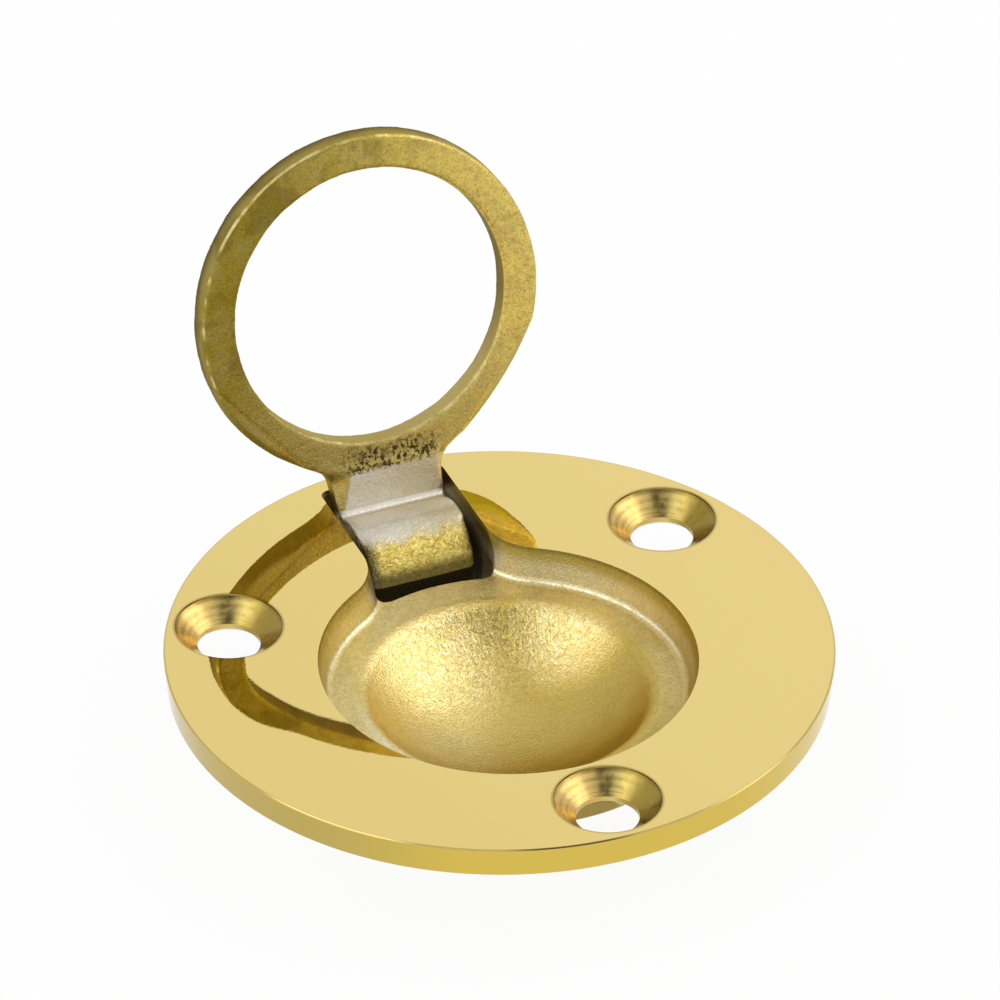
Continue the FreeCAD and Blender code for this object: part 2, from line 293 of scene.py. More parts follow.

# Cast base: painted shade in the neck, turning near-black low down, near-black painted shade in the slot under it,
# and painted shade in the screw bores
NECK = (NECK_START, NECK_START + 3 * MM)
NECK_DEPTH = (-0.05 * MM, -0.9 * MM)
NECK_FLOOR = (-POCKET_DEPTH - 0.4 * MM, -POCKET_DEPTH - 0.1 * MM)
NECK_SIDE = (2.2 * MM, 1.8 * MM)
NECK_SHARE = 0.85
NECK_SHADE_COVER = (-0.5 * MM, -3.2 * MM, 0.0, 0.7)
SLOT_FROM_BOWL = (BOWL_RADIUS + 1.2 * MM, BOWL_RADIUS + 1.8 * MM)
SLOT_TOP = (-POCKET_DEPTH - 0.05 * MM, -POCKET_DEPTH - 0.4 * MM)
SLOT_BACK = (8 * MM, 10 * MM)
SLOT_SIDE = (1.5 * MM, 1.1 * MM)
SLOT_RIGHT = (4.2 * MM, 5.6 * MM, 1.0, 0.7)
SCREW_BORE = (SEAT_RADIUS, SEAT_RADIUS - 0.5 * MM)
SCREW_BORE_SHARE = 0.8

# Cast handle: its relief and the noises that stain it
DENT_NOISE = (2.5 * MM, 2.0)
DENT_RELIEF = 0.10 * MM
SKIN_NOISE = (0.52 * MM, 3.0, 0.55, 1.4)
# The skin noise's levels at which the nose turns from painted shade to painted light
SKIN_LEVELS = (0.34, 0.62)
SKIN_RELIEF = 0.24 * MM
SKIN_ELSEWHERE = 0.3
MOTTLE_NOISE = (0.2 * MM, 2.0, 0.6)
MOTTLE = (0.40, 0.62)
MOTTLE_SHARE = 0.25
MOTTLE_RELIEF = 0.04 * MM
LUMP_NOISE = (1.3 * MM, 3.0)
PATINA_NOISE = (2.4 * MM, 4.0, 0.65)
PATINA = (0.40, 0.62)
PATINA_SHARE = 0.30
HANDLE_ROUGHNESS = (0, 1, 0.40, 0.48)
FLECK_NOISE = (0.6 * MM, 3.0, 0.7)
FLECK = (0.50, 0.66)
FLECK_SHARE = 0.20

# Cast handle: the ring's face, painted lighter toward its right and its bottom, and its walls, underside and bore
# in painted shade, by the way down the handle and by the depth below its face
RING_RIGHT = (-13 * MM, 15 * MM)
RING_LOW = (3 * MM, 13 * MM)
RING_LOW_SHARE = 0.55
OFF_FACE = (1.45 * MM, 1.6 * MM)
WALL_START = (-0.25 * MM, -0.5 * MM)
WALL_DOWN = (16 * MM, 12 * MM, 0.2, 0.8)
FAR_WALL = (-0.6 * MM, -2.4 * MM)
FAR_WALL_DOWN = (10 * MM, 2 * MM)
OUTER_WALL = (RING_MIDDLE + 0.8 * MM, RING_MIDDLE + 1.4 * MM)
UNDER_START = (6 * MM, 11 * MM)
UNDER_END = (17.5 * MM, 16 * MM)
UNDER_SHARE = 0.9
BORE_WALL = (RING_MIDDLE, RING_MIDDLE - 1 * MM)
BORE_FRONT = (-2.4 * MM, -2.0 * MM)
BORE_LOW = (0.0, 12 * MM)

# Cast handle: the painted shade on the ring's upper left and the painted highlights along its edges, broken up as
# if worn by rubbing
TO_UPPER_LEFT = -0.7
SHADE_NOISE = (3.5 * MM, 2.0, 0.6, 0.5)
SHADE_LEVELS = (0.46, 0.62)
SHADE_SIDE = (2 * MM, 9 * MM)
SHADE_SHARE = 0.35
OUTER_EDGE_INSIDE = (RING_RADIUS - 0.36 * MM, RING_RADIUS - 0.28 * MM)
OUTER_EDGE_OUTSIDE = (RING_RADIUS - 0.08 * MM, RING_RADIUS - 0.16 * MM)
OUTER_EDGE_DEPTH = (-0.45 * MM, -0.3 * MM)
OUTER_EDGE_SIDE = (1 * MM, 8 * MM)
OUTER_EDGE_SHARE = 0.6
INNER_EDGE = (RING_BORE + 0.35 * MM, RING_BORE + 0.2 * MM)
INNER_EDGE_DEPTH = (-0.45 * MM, -0.25 * MM)
INNER_EDGE_DOWN = (7 * MM, 11 * MM)
INNER_EDGE_SHARE = 0.35
RUB_NOISE = (2.8 * MM, 2.0, 0.65)
RUB_LEVELS = (0.42, 0.62)

# Cast handle: a band of pits where the ring meets the shank
PIT_NOISE = (0.42 * MM, 3.0, 0.7)
PIT_LEVELS = (0.475, 0.57)
PIT_CLUSTERS = (0.66, 0.54, 0.5, 0.95)
PITS_START = (13.4 * MM, 14.8 * MM)
PITS_END = (16.8 * MM, 16.2 * MM)
PITS_LEFT = (-5.6 * MM, -3 * MM)
PITS_RIGHT = (6.6 * MM, 4 * MM)
PITS_DEPTH = (-0.6 * MM, -0.2 * MM)
PIT_RELIEF = -0.12 * MM

# Cast handle: the shank's bare front, the edge of its facet and the painted highlight along its bend
SHANK_START = (16.2 * MM, 16.5 * MM)
SHANK_FRONT = (-1.0 * MM, -0.3 * MM)
SHANK_RIGHT = (-3 * MM, 4.5 * MM)
SHANK_WEAR = (0.35, 0.65)
SHANK_WEAR_SHARE = 0.25
SHANK_MOTTLE_SHARE = 0.16
FACET_EDGE = (FACET_START - 0.1 * MM, FACET_START + 0.2 * MM)
FACET_RAGGED = 0.2 * MM
BELOW_FACET = (BEND - 0.3 * MM, BEND)
BEND_TOP = (BEND - 0.45 * MM, BEND - 0.2 * MM)
BEND_FOOT = (BEND + 0.3 * MM, BEND)
BEND_DEPTH = (-0.5 * MM, 0.1 * MM)
BEND_SHARE = 0.8

# Cast handle: the knuckle's golden nose, the painted shade on its low side and its ends, and the near-black
# painted shade in the gap below it
NOSE_RAGGED = 1.5 * MM
NOSE_HEIGHT = (5.3 * MM, 4.4 * MM)
NOSE_START = (20.5 * MM, 21.5 * MM)
TAIL = (18 * MM, 20 * MM)
KNUCKLE_LOW = (2.5 * MM, 1.3 * MM)
KNUCKLE_LOW_SHARE = 0.85
RIGHT_END = (4.6 * MM, 5.3 * MM)
RIGHT_END_START = (22 * MM, 23 * MM)
RIGHT_END_SHARE = 0.6
LEFT_END = (-3.7 * MM, -5.1 * MM)
LEFT_END_START = (20.6 * MM, 22 * MM)
LEFT_END_SHARE = 0.8
GAP_HEIGHT = (0.75 * MM, 0.6 * MM)
GAP_FRONT = (1.5 * MM, 0.0)

# Drawn pin
DRAWN_NOISE = (0.4 * MM, 2.0)
DRAWN_RELIEF = 0.004 * MM
DRAWN_ROUGHNESS = 0.22


class Nodes:
    """A short way to build a metal's node tree."""

    def __init__(self, name):
        self.material = bpy.data.materials.new(name)
        self.material.use_nodes = True
        self.tree = self.material.node_tree
        self.shader = self.tree.nodes["Principled BSDF"]
        self.shader.inputs["Metallic"].default_value = 1.0
        self.place = self.add("ShaderNodeTexCoord").outputs["Object"]

    def add(self, kind, inputs=None, **settings):
        node = self.tree.nodes.new(kind)
        for key, value in settings.items():
            setattr(node, key, value)
        for key, value in (inputs or {}).items():
            self.join(value, node.inputs[key])
        return node

    def join(self, value, socket):
        if isinstance(value, bpy.types.NodeSocket):
            self.tree.links.new(value, socket)
        else:
            socket.default_value = value

    def finish(self, colour, roughness, normal=None, shade_cover=None):
        """Sets the shader; where the last mask is 1 the metal is hidden under a near-black painted shade."""
        if shade_cover is not None:
            colour = self.mix(shade_cover, colour, SHADE_COVER_BROWN)
            roughness = self.calc("MAXIMUM", roughness, shade_cover)
            self.join(self.calc("SUBTRACT", 1.0, shade_cover), self.shader.inputs["Metallic"])
            self.shader.inputs["Specular IOR Level"].default_value = SHADE_COVER_SHEEN
        self.join(colour, self.shader.inputs["Base Color"])
        self.join(roughness, self.shader.inputs["Roughness"])
        if normal is not None:
            self.join(normal, self.shader.inputs["Normal"])
        return self.material

    def tint_edges(self, colour):
        """Tarnish: the metal keeps its colour at a glancing angle, where bright metal turns white."""
        self.shader.inputs["Specular Tint"].default_value = colour

    def calc(self, operation, a, b=0.0):
        return self.add("ShaderNodeMath", {0: a, 1: b}, operation=operation).outputs[0]

    def times(self, *values):
        total = values[0]
        for value in values[1:]:
            total = self.calc("MULTIPLY", total, value)
        return total

    def vector(self, operation, *inputs, scale=None):
        """A vector from vectors."""
        node = self.add("ShaderNodeVectorMath", dict(enumerate(inputs)), operation=operation)
        if scale is not None:
            self.join(scale, node.inputs["Scale"])
        return node.outputs[0]

    def measure(self, operation, *inputs):
        """A single number from vectors."""
        return self.add("ShaderNodeVectorMath", dict(enumerate(inputs)), operation=operation).outputs["Value"]

    def along(self, direction, start):
        """How far a point lies along a direction from a start, in metres."""
        return self.measure("DOT_PRODUCT", self.vector("SUBTRACT", self.place, start), direction)

    def from_line(self, point, direction):
        """Distance from the line through a point."""
        offset = self.vector("SUBTRACT", self.place, point)
        return self.measure("LENGTH", self.vector("CROSS_PRODUCT", offset, direction))

    def flat_offset(self, point):
        """The level part of the way from a point to here, as a vector."""
        offset = self.vector("SUBTRACT", self.place, point)
        return self.vector("MULTIPLY", offset, (1, 1, 0))

    def step(self, value, low, high, to_low=0.0, to_high=1.0):
        """A smooth step from one value to another; high may lie below low."""
        if high < low:
            low, high, to_low, to_high = high, low, to_high, to_low
        node = self.add("ShaderNodeMapRange",
                        {"Value": value, "From Min": low, "From Max": high,
                         "To Min": to_low, "To Max": to_high})
        node.interpolation_type = "SMOOTHSTEP"
        return node.outputs["Result"]

    def step_line(self, value, low, high):
        """A straight ramp from 0 at the first value to 1 at the second."""
        node = self.add("ShaderNodeMapRange", {"Value": value, "From Min": low, "From Max": high})
        return node.outputs["Result"]

    def noise_of(self, value, size):
        """Noise along one length, such as the distance from an axis."""
        scaled = self.calc("DIVIDE", value, size)
        node = self.add("ShaderNodeTexNoise", {"W": scaled, "Scale": 1.0, "Detail": 1.0},
                        noise_dimensions="1D")
        return node.outputs["Fac"]

    def noise(self, size, detail=2.0, roughness=0.5, distortion=0.0):
        """Fractal noise from 0 to 1 whose largest lumps are about this many metres across."""
        return self.add("ShaderNodeTexNoise",
                        {"Vector": self.place, "Scale": 1 / size, "Detail": detail,
                         "Roughness": roughness, "Distortion": distortion}).outputs["Fac"]

    def mix(self, factor, a, b):
        """One colour where the factor is 0 and the other where it is 1."""
        node = self.add("ShaderNodeMix", data_type="RGBA")
        self.join(factor, node.inputs[0])
        self.join(a, node.inputs[6])
        self.join(b, node.inputs[7])
        return node.outputs[2]

    def bump(self, height, depth, normal=None):
        """Relief where a height of 1 stands this many metres proud."""
        inputs = {"Height": height, "Distance": depth, "Strength": 1.0}
        if normal is not None:
            inputs["Normal"] = normal
        return self.add("ShaderNodeBump", inputs).outputs["Normal"]


def seat_centres():
    angles = [math.radians(angle) for angle in SCREW_ANGLES]
    return [Vector((math.cos(a), math.sin(a), 0)) * screw_circle for a in angles]


def from_seats(m):
    """Distance from the axis of the nearest screw seat."""
    nearest = None
    for centre in seat_centres():
        here = m.from_line(centre, UP)
        nearest = here if nearest is None else m.calc("MINIMUM", nearest, here)
    return nearest


def hand_polished_normal(m):
    """The flange's normal: buffing crowns it, so it falls off to the pocket and to the rim."""
    normal = m.add("ShaderNodeNewGeometry").outputs["Normal"]
    to_pocket = m.step_line(m.from_line(POCKET_CENTRE, UP), POCKET_RADIUS + POCKET_FALL, POCKET_RADIUS)
    to_rim = m.step_line(m.from_line(Vector(), UP), flange_radius - RIM_FALL, flange_radius)
    inward = m.vector("NORMALIZE", m.flat_offset(POCKET_CENTRE))
    outward = m.vector("NORMALIZE", m.flat_offset(Vector()))
    tilt_in = m.vector("SCALE", inward, scale=m.times(to_pocket, -POCKET_TILT))
    tilt_out = m.vector("SCALE", outward, scale=m.times(to_rim, RIM_TILT))
    tilted = m.vector("ADD", m.vector("ADD", normal, tilt_in), tilt_out)
    return m.vector("NORMALIZE", tilted)


def polished():
    """Mirror polished flange with the faint waves that hand polishing leaves, painted paler toward the right, with
    a rim in painted shade and thin lines of painted shade along the rim and round each seat.
    """
    m = Nodes("polished_brass")
    depth = m.along(UP, Vector((0, 0, plate_top)))
    across = m.along(ACROSS, Vector())
    from_rim = m.calc("SUBTRACT", flange_radius, m.from_line(Vector(), UP))
    to_seat = m.calc("SUBTRACT", from_seats(m), SEAT_RADIUS)
    # Painted shade: thin dark lines along the rim's edge and round each seat's lip
    rim_line = m.times(m.step(from_rim, *RIM_LINE), m.step(depth, *RIM_LINE_DEPTH), RIM_LINE_SHARE)
    lip_line = m.times(m.step(to_seat, *LIP_LINE), m.step(depth, *LIP_LINE_DEPTH), LIP_LINE_SHARE)
    # Painted light: the flange paler toward the right; painted shade: the rim darker than the flange and darker
    # still on the left
    colour = m.mix(m.step(across, -flange_radius, flange_radius), PLATE_GOLD, PLATE_LIT_PALE)
    rim = m.mix(m.step(across, *RIM_SHADE_SIDE), RIM_SHADED_GOLD, RIM_LEFT_SHADE)
    colour = m.mix(m.step(depth, *RIM_WALL), colour, rim)
    colour = m.mix(m.calc("MAXIMUM", rim_line, lip_line), colour, PLATE_EDGE_SHADE)
    normal = m.bump(m.noise(*WAVE_NOISE), WAVE_RELIEF, hand_polished_normal(m))
    normal = m.bump(m.noise(*HAZE_NOISE), HAZE_RELIEF, normal)
    return m.finish(colour, MIRROR_ROUGHNESS, normal)


def turned():
    """Screw seats with the fans of light that a countersink cutter's rings give, painted paler on their left and
    more olive on their right, with painted shade at their inner edge.
    """
    m = Nodes("turned_brass")
    spread = None
    for centre in seat_centres():
        near = m.step(m.from_line(centre, UP), *NEAR_SEAT)
        offset = m.vector("SCALE", m.flat_offset(centre), scale=near)
        spread = offset if spread is None else m.vector("ADD", spread, offset)
    m.join(m.vector("NORMALIZE", m.vector("CROSS_PRODUCT", UP, spread)), m.shader.inputs["Tangent"])
    m.join(SEAT_ANISOTROPY, m.shader.inputs["Anisotropic"])
    to_right = m.measure("DOT_PRODUCT", m.vector("NORMALIZE", spread), ACROSS_VIEW)
    from_axis = from_seats(m)
    worn = m.noise(*SEAT_NOISE)
    # Painted light and shade: each seat paler on its left and olive on its right
    colour = m.mix(m.step(to_right, *SEAT_LEFT), SEAT_LIT_PALE, SEAT_GOLD)
    colour = m.mix(m.step(to_right, *SEAT_RIGHT), colour, SEAT_OLIVE)
    shade = m.times(m.step(m.noise_of(from_axis, CUTTER_RING), *CUTTER_SHADE), m.step(worn, *SEAT_WEAR))
    colour = m.mix(shade, colour, SEAT_OLIVE)
    # Painted shade: darker at the seat's inner edge, by the bore
    colour = m.mix(m.step(from_axis, *SEAT_EDGE), colour, SEAT_EDGE_SHADE)
    return m.finish(colour, m.step(worn, *SEAT_ROUGHNESS))


def base_places(m):
    """Where a point lies in the pocket, and the noises that several of the base's masks share."""
    at = SimpleNamespace()
    at.from_middle = m.from_line(POCKET_CENTRE, UP)
    at.across = m.along(ACROSS, POCKET_CENTRE)
    at.back = m.along(BACK, POCKET_CENTRE)
    at.depth = m.along(UP, POCKET_CENTRE)
    at.in_bowl = m.step(at.from_middle, *BOWL_BRINK)
    at.crinkled = m.times(at.in_bowl, m.step(at.back, *CRINKLED_BACK), m.step(at.across, *CRINKLED_RIGHT))
    at.crinkle = m.noise(*CRINKLE_NOISE)
    at.grain = m.noise(*GRAIN_NOISE)
    at.stain = m.step(m.noise(*STAIN_NOISE), *STAIN_LEVELS)
    return at


def floor_tone(m, at):
    """The pocket's floor and wall in painted light and shade, with a painted shadow along the brink above and a
    painted highlight on the fillet between the two.
    """
    # Painted light and shade: the floor tan on the left, greyer on the right and olive toward the front
    tone = m.mix(m.step(at.across, *FLOOR_RIGHT), FLOOR_LIT_TAN, FLOOR_GREY)
    tone = m.mix(m.step(at.back, *FLOOR_NEAR), tone, FLOOR_NEAR_SHADE)
    tone = m.mix(m.times(at.stain, STAIN_SHARE), tone, STAIN)
    # Painted shade and light on the wall's back and right: olive above, pale toward its foot
    wall = m.times(m.step(at.depth, *WALL_FOOT), m.step(at.back, *WALL_BACK),
                   m.step(at.across, *WALL_RIGHT), m.step(at.stain, *WALL_STAIN))
    tone = m.mix(wall, tone, m.mix(m.step(at.depth, *WALL_SHADE), WALL_LIT_PALE, WALL_SHADED_OLIVE))
    # Painted shadow: a dark band along the brink where the wall meets the flange, at the back
    brink = m.times(m.step(at.depth, *BRINK), m.step(at.back, *BRINK_BACK), BRINK_SHARE)
    tone = m.mix(brink, tone, BRINK_SHADOW_BROWN)
    # Painted highlight: a thin bright line along the fillet between wall and floor, broken up by the stain
    fillet = m.times(m.step(at.depth, *FILLET_FOOT), m.step(at.depth, *FILLET_TOP),
                     m.step(at.back, *FILLET_BACK), m.step(at.stain, *FILLET_STAIN))
    return m.mix(fillet, tone, FILLET_HIGHLIGHT)


def bowl_tone(m, at):
    """The bowl: painted tan toward the left and pale toward the near left, olive elsewhere, with two painted
    golden highlight patches, painted glints on the crinkles within them and painted shade in the crinkle hollows.
    """
    # Painted highlights: two golden patches, one on the left and one on the right
    left_glow = m.step(m.from_line(POCKET_CENTRE + LEFT_PATCH, UP), *LEFT_GLOW)
    right_glow = m.step(m.from_line(POCKET_CENTRE + RIGHT_PATCH, UP), *RIGHT_GLOW)
    glow = m.calc("MAXIMUM", left_glow, right_glow)
    # Painted light: tan toward the left and pale toward the near left
    tone = m.mix(m.step(at.across, *BOWL_LEFT), BOWL_OLIVE, BOWL_LIT_TAN)
    near_left = m.times(m.step(at.back, *BOWL_NEAR), m.step(at.across, *BOWL_NEAR_LEFT))
    tone = m.mix(near_left, tone, BOWL_LIT_FRONT)
    tone = m.mix(glow, tone, BOWL_HIGHLIGHT)
    # Painted shade in the crinkle hollows, and painted glints on the crinkle ridges inside the highlight patches
    tone = m.mix(m.times(m.step(at.crinkle, *HOLLOWS), at.crinkled, HOLLOW_SHARE), tone, BOWL_SHADE)
    ridges = m.times(m.step(at.crinkle, *RIDGES), at.crinkled, glow, RIDGE_SHARE)
    return m.mix(ridges, tone, BOWL_GLINT)


def as_cast():
    """Pocket, bowl and underside: satin and grainy, crinkled in the bowl, with painted shade in the neck and the
    screw bores and near-black painted shade inside the slot.
    """
    m = Nodes("cast_base_brass")
    at = base_places(m)
    colour = m.mix(at.in_bowl, floor_tone(m, at), bowl_tone(m, at))
    colour = m.mix(m.step(at.grain, *GRAIN_STAIN), colour, STAIN)

    from_slot = m.calc("SUBTRACT", m.calc("ABSOLUTE", at.across), SHANK_HALF_WIDTH)
    above_or_inside = m.calc("MAXIMUM", m.step(at.depth, *NECK_FLOOR), m.step(from_slot, *NECK_SIDE))
    in_neck = m.times(m.step(at.back, *NECK), m.step(at.depth, *NECK_DEPTH), above_or_inside)
    in_slot = m.times(m.step(at.from_middle, *SLOT_FROM_BOWL), m.step(at.depth, *SLOT_TOP),
                      m.step(at.back, *SLOT_BACK), m.step(from_slot, *SLOT_SIDE),
                      m.step(at.across, *SLOT_RIGHT))
    in_bore = m.step(from_seats(m), *SCREW_BORE)
    # Painted shade: darker in the neck and inside the screw bores
    colour = m.mix(m.times(in_neck, NECK_SHARE), colour, NECK_SHADE)
    colour = m.mix(m.times(in_bore, SCREW_BORE_SHARE), colour, SCREW_BORE_SHADE)
    # Painted shade: near-black in the slot and low in the neck
    slot_shade = m.calc("MAXIMUM", in_slot, m.times(in_neck, m.step(at.depth, *NECK_SHADE_COVER)))

    normal = m.bump(m.noise(*SWELL_NOISE), SWELL_RELIEF)
    normal = m.bump(m.times(at.crinkle, at.crinkled), CRINKLE_RELIEF, normal)
    normal = m.bump(at.grain, GRAIN_RELIEF, normal)
    m.tint_edges(BRASS_EDGE)
    return m.finish(colour, m.step(at.in_bowl, *BOWL_ROUGHNESS), normal, slot_shade)


def handle_places(m):
    """Where a point lies on the handle, and the noises that several of its masks share."""
    at = SimpleNamespace()
    at.down = m.along(HANDLE_DOWN, RING_CENTRE)
    at.depth = m.along(HANDLE_FRONT, RING_CENTRE)
    at.across = m.along(ACROSS, RING_CENTRE)
    at.radius = m.from_line(RING_CENTRE, HANDLE_FRONT)
    at.height = m.along(UP, hinge)
    at.back = m.along(BACK, hinge)
    at.lumps = m.noise(*LUMP_NOISE)
    at.patina = m.step(m.noise(*PATINA_NOISE), *PATINA)
    at.fleck = m.step(m.noise(*FLECK_NOISE), *FLECK)
    at.grain = m.noise(*MOTTLE_NOISE)
    at.mottle = m.step(at.grain, *MOTTLE)
    at.skin = m.noise(*SKIN_NOISE)
    return at


def ring_tone(m, at):
    """The ring: painted golden on its right and olive on its left, with its walls in painted shade and painted
    highlights along its edges, broken up as if worn by rubbing.
    """
    # Painted light: the ring golden toward its right
    right = m.step(at.across, *RING_RIGHT)
    tone = m.mix(right, RING_OLIVE, RING_LIT_GOLD)
    tone = m.mix(m.times(at.patina, PATINA_SHARE), tone, RING_TAN)
    tone = m.mix(m.times(at.fleck, FLECK_SHARE), tone, RING_BROWN)
    # Painted light: lighter toward the bottom
    tone = m.mix(m.times(m.step(at.down, *RING_LOW), RING_LOW_SHARE), tone, RING_TAN)
    tone = m.mix(m.times(at.mottle, MOTTLE_SHARE), tone, RING_BROWN)

    # Painted shade: the walls darker than the face, darkest on the far side near the top, the underside of the
    # outer wall olive on the left and gold on the right, and the bore darker toward the top
    from_face_middle = m.calc("ABSOLUTE", m.calc("SUBTRACT", at.radius, RING_MIDDLE))
    wall = m.times(m.step(at.depth, *WALL_START), m.step(from_face_middle, *OFF_FACE),
                   m.step(at.down, *WALL_DOWN))
    far_side = m.times(m.step(at.depth, *FAR_WALL), m.step(at.down, *FAR_WALL_DOWN))
    tone = m.mix(wall, tone, m.mix(far_side, FLANK_TAN, FLANK_SHADE))
    under = m.times(m.step(at.radius, *OUTER_WALL), m.step(at.depth, *WALL_START),
                    m.step(at.down, *UNDER_START), m.step(at.down, *UNDER_END), UNDER_SHARE)
    tone = m.mix(under, tone, m.mix(right, UNDER_SHADE_OLIVE, UNDER_GOLD))
    in_bore = m.times(m.step(at.radius, *BORE_WALL), wall, m.step(at.depth, *BORE_FRONT))
    tone = m.mix(in_bore, tone, m.mix(m.step(at.down, *BORE_LOW), RING_BORE_SHADE, RING_TAN))

    upper_left = m.calc("ADD", m.times(at.across, TO_UPPER_LEFT), m.times(at.down, TO_UPPER_LEFT))
    shade = m.times(m.step(m.noise(*SHADE_NOISE), *SHADE_LEVELS), m.step(upper_left, *SHADE_SIDE))
    tone = m.mix(m.times(shade, SHADE_SHARE), tone, RING_BROWN)
    # Painted highlights along the outer edge on the upper left and the inner edge lower down, broken up as if worn
    # by rubbing
    outer_edge = m.times(m.step(at.radius, *OUTER_EDGE_INSIDE), m.step(at.radius, *OUTER_EDGE_OUTSIDE),
                         m.step(at.depth, *OUTER_EDGE_DEPTH), m.step(upper_left, *OUTER_EDGE_SIDE),
                         OUTER_EDGE_SHARE)
    inner_edge = m.times(m.step(at.radius, *INNER_EDGE), m.step(at.depth, *INNER_EDGE_DEPTH),
                         m.step(at.down, *INNER_EDGE_DOWN), INNER_EDGE_SHARE)
    edge_highlight = m.times(m.calc("ADD", outer_edge, inner_edge), m.step(m.noise(*RUB_NOISE), *RUB_LEVELS))
    return m.mix(edge_highlight, tone, EDGE_HIGHLIGHT_GOLD)


def pit_mask(m, at):
    spots = m.times(m.step(m.noise(*PIT_NOISE), *PIT_LEVELS), m.step(at.lumps, *PIT_CLUSTERS))
    band = m.times(m.step(at.down, *PITS_START), m.step(at.down, *PITS_END),
                   m.step(at.across, *PITS_LEFT), m.step(at.across, *PITS_RIGHT),
                   m.step(at.depth, *PITS_DEPTH))
    return m.times(spots, band)


def shank_mask(m, at):
    """The shank's front, as far left as the ragged edge of its facet, and all of it below the bend."""
    slanted = m.times(m.calc("SUBTRACT", at.down, FACET_ORIGIN), FACET_SLANT)
    facet = m.calc("ADD", m.calc("ADD", at.across, slanted), m.times(at.fleck, FACET_RAGGED))
    right_or_below = m.calc("MAXIMUM", m.step(facet, *FACET_EDGE), m.step(at.down, *BELOW_FACET))
    return m.times(m.step(at.down, *SHANK_START), m.step(at.depth, *SHANK_FRONT), right_or_below)


def shank_tone(m, at):
    tone = m.mix(m.step(at.across, *SHANK_RIGHT), SHANK_GREY, SHANK_TAN)
    tone = m.mix(m.times(m.step(at.lumps, *SHANK_WEAR), SHANK_WEAR_SHARE), tone, SHANK_TAN)
    return m.mix(m.times(at.mottle, SHANK_MOTTLE_SHARE), tone, SHANK_SHADE)


def cast_handle():
    """Dull tumbled brass ring, a bare grey shank and a golden knuckle worn bright by rubbing, with painted
    highlights, painted light and shade on the knuckle's crinkles, and near-black painted shade in the gap below
    it.
    """
    m = Nodes("cast_handle_brass")
    at = handle_places(m)
    colour = m.mix(shank_mask(m, at), ring_tone(m, at), shank_tone(m, at))
    # Painted highlight: a bright line along the bend
    bend = m.times(m.step(at.down, *BEND_TOP), m.step(at.down, *BEND_FOOT),
                   m.step(at.depth, *BEND_DEPTH), BEND_SHARE)
    colour = m.mix(bend, colour, BEND_HIGHLIGHT)

    ragged_height = m.calc("ADD", at.height, m.times(at.lumps, NOSE_RAGGED))
    nose = m.times(m.step(ragged_height, *NOSE_HEIGHT), m.step(at.down, *NOSE_START))
    # The golden nose, worn bright by rubbing, with painted light and shade on its crinkles
    colour = m.mix(nose, colour, m.mix(m.step(at.skin, *SKIN_LEVELS), NOSE_SHADE, NOSE_GOLD))
    # Painted shade: the knuckle darker on its low side and at both ends
    tail = m.step(at.down, *TAIL)
    low = m.times(m.step(at.height, *KNUCKLE_LOW), tail, KNUCKLE_LOW_SHARE)
    colour = m.mix(low, colour, KNUCKLE_SHADE)
    right_end = m.times(m.step(at.across, *RIGHT_END), m.step(at.down, *RIGHT_END_START), RIGHT_END_SHARE)
    colour = m.mix(right_end, colour, KNUCKLE_SHADE)
    left_end = m.times(m.step(at.across, *LEFT_END), m.step(at.down, *LEFT_END_START), LEFT_END_SHARE)
    colour = m.mix(left_end, colour, KNUCKLE_END_SHADE)
    pits = pit_mask(m, at)
    colour = m.mix(pits, colour, PIT_BROWN)
    # Painted shade: near-black in the gap below the knuckle
    gap = m.times(m.step(at.height, *GAP_HEIGHT), tail, m.step(at.back, *GAP_FRONT))

    normal = m.bump(m.noise(*DENT_NOISE), DENT_RELIEF)
    normal = m.bump(m.times(at.skin, m.calc("ADD", nose, SKIN_ELSEWHERE)), SKIN_RELIEF, normal)
    normal = m.bump(at.grain, MOTTLE_RELIEF, normal)
    normal = m.bump(pits, PIT_RELIEF, normal)
    m.tint_edges(BRASS_EDGE)
    return m.finish(colour, m.step(at.patina, *HANDLE_ROUGHNESS), normal, gap)


def drawn_pin():
    m = Nodes("pin_brass")
    return m.finish(PIN_GOLD, DRAWN_ROUGHNESS, m.bump(m.noise(*DRAWN_NOISE), DRAWN_RELIEF))


def dress_base():
    """Gives each face of the base the finish of its surface: polished, turned or as cast."""
    mesh = nodes["base_plate"].data
    mesh.materials.clear()
    for material in (as_cast(), polished(), turned()):
        mesh.materials.append(material)
    centres = seat_centres()
    for face in mesh.polygons:
        middle = face.center
        flat_middle = Vector((middle.x, middle.y, 0))
        above_back = middle.z > ABOVE_BACK
        on_top = middle.z > plate_top - TOP_SKIN
        on_rim = above_back and flat_middle.length > flange_radius - RIM_BAND
        in_seat = above_back and any((flat_middle - c).length < SEAT_RADIUS for c in centres)
        if on_top or on_rim:
            face.material_index = 1
        elif in_seat:
            face.material_index = 2
        else:
            face.material_index = 0


def dress_pin():
    mesh = nodes["hinge_pin"].data
    mesh.materials.clear()
    mesh.materials.append(drawn_pin())


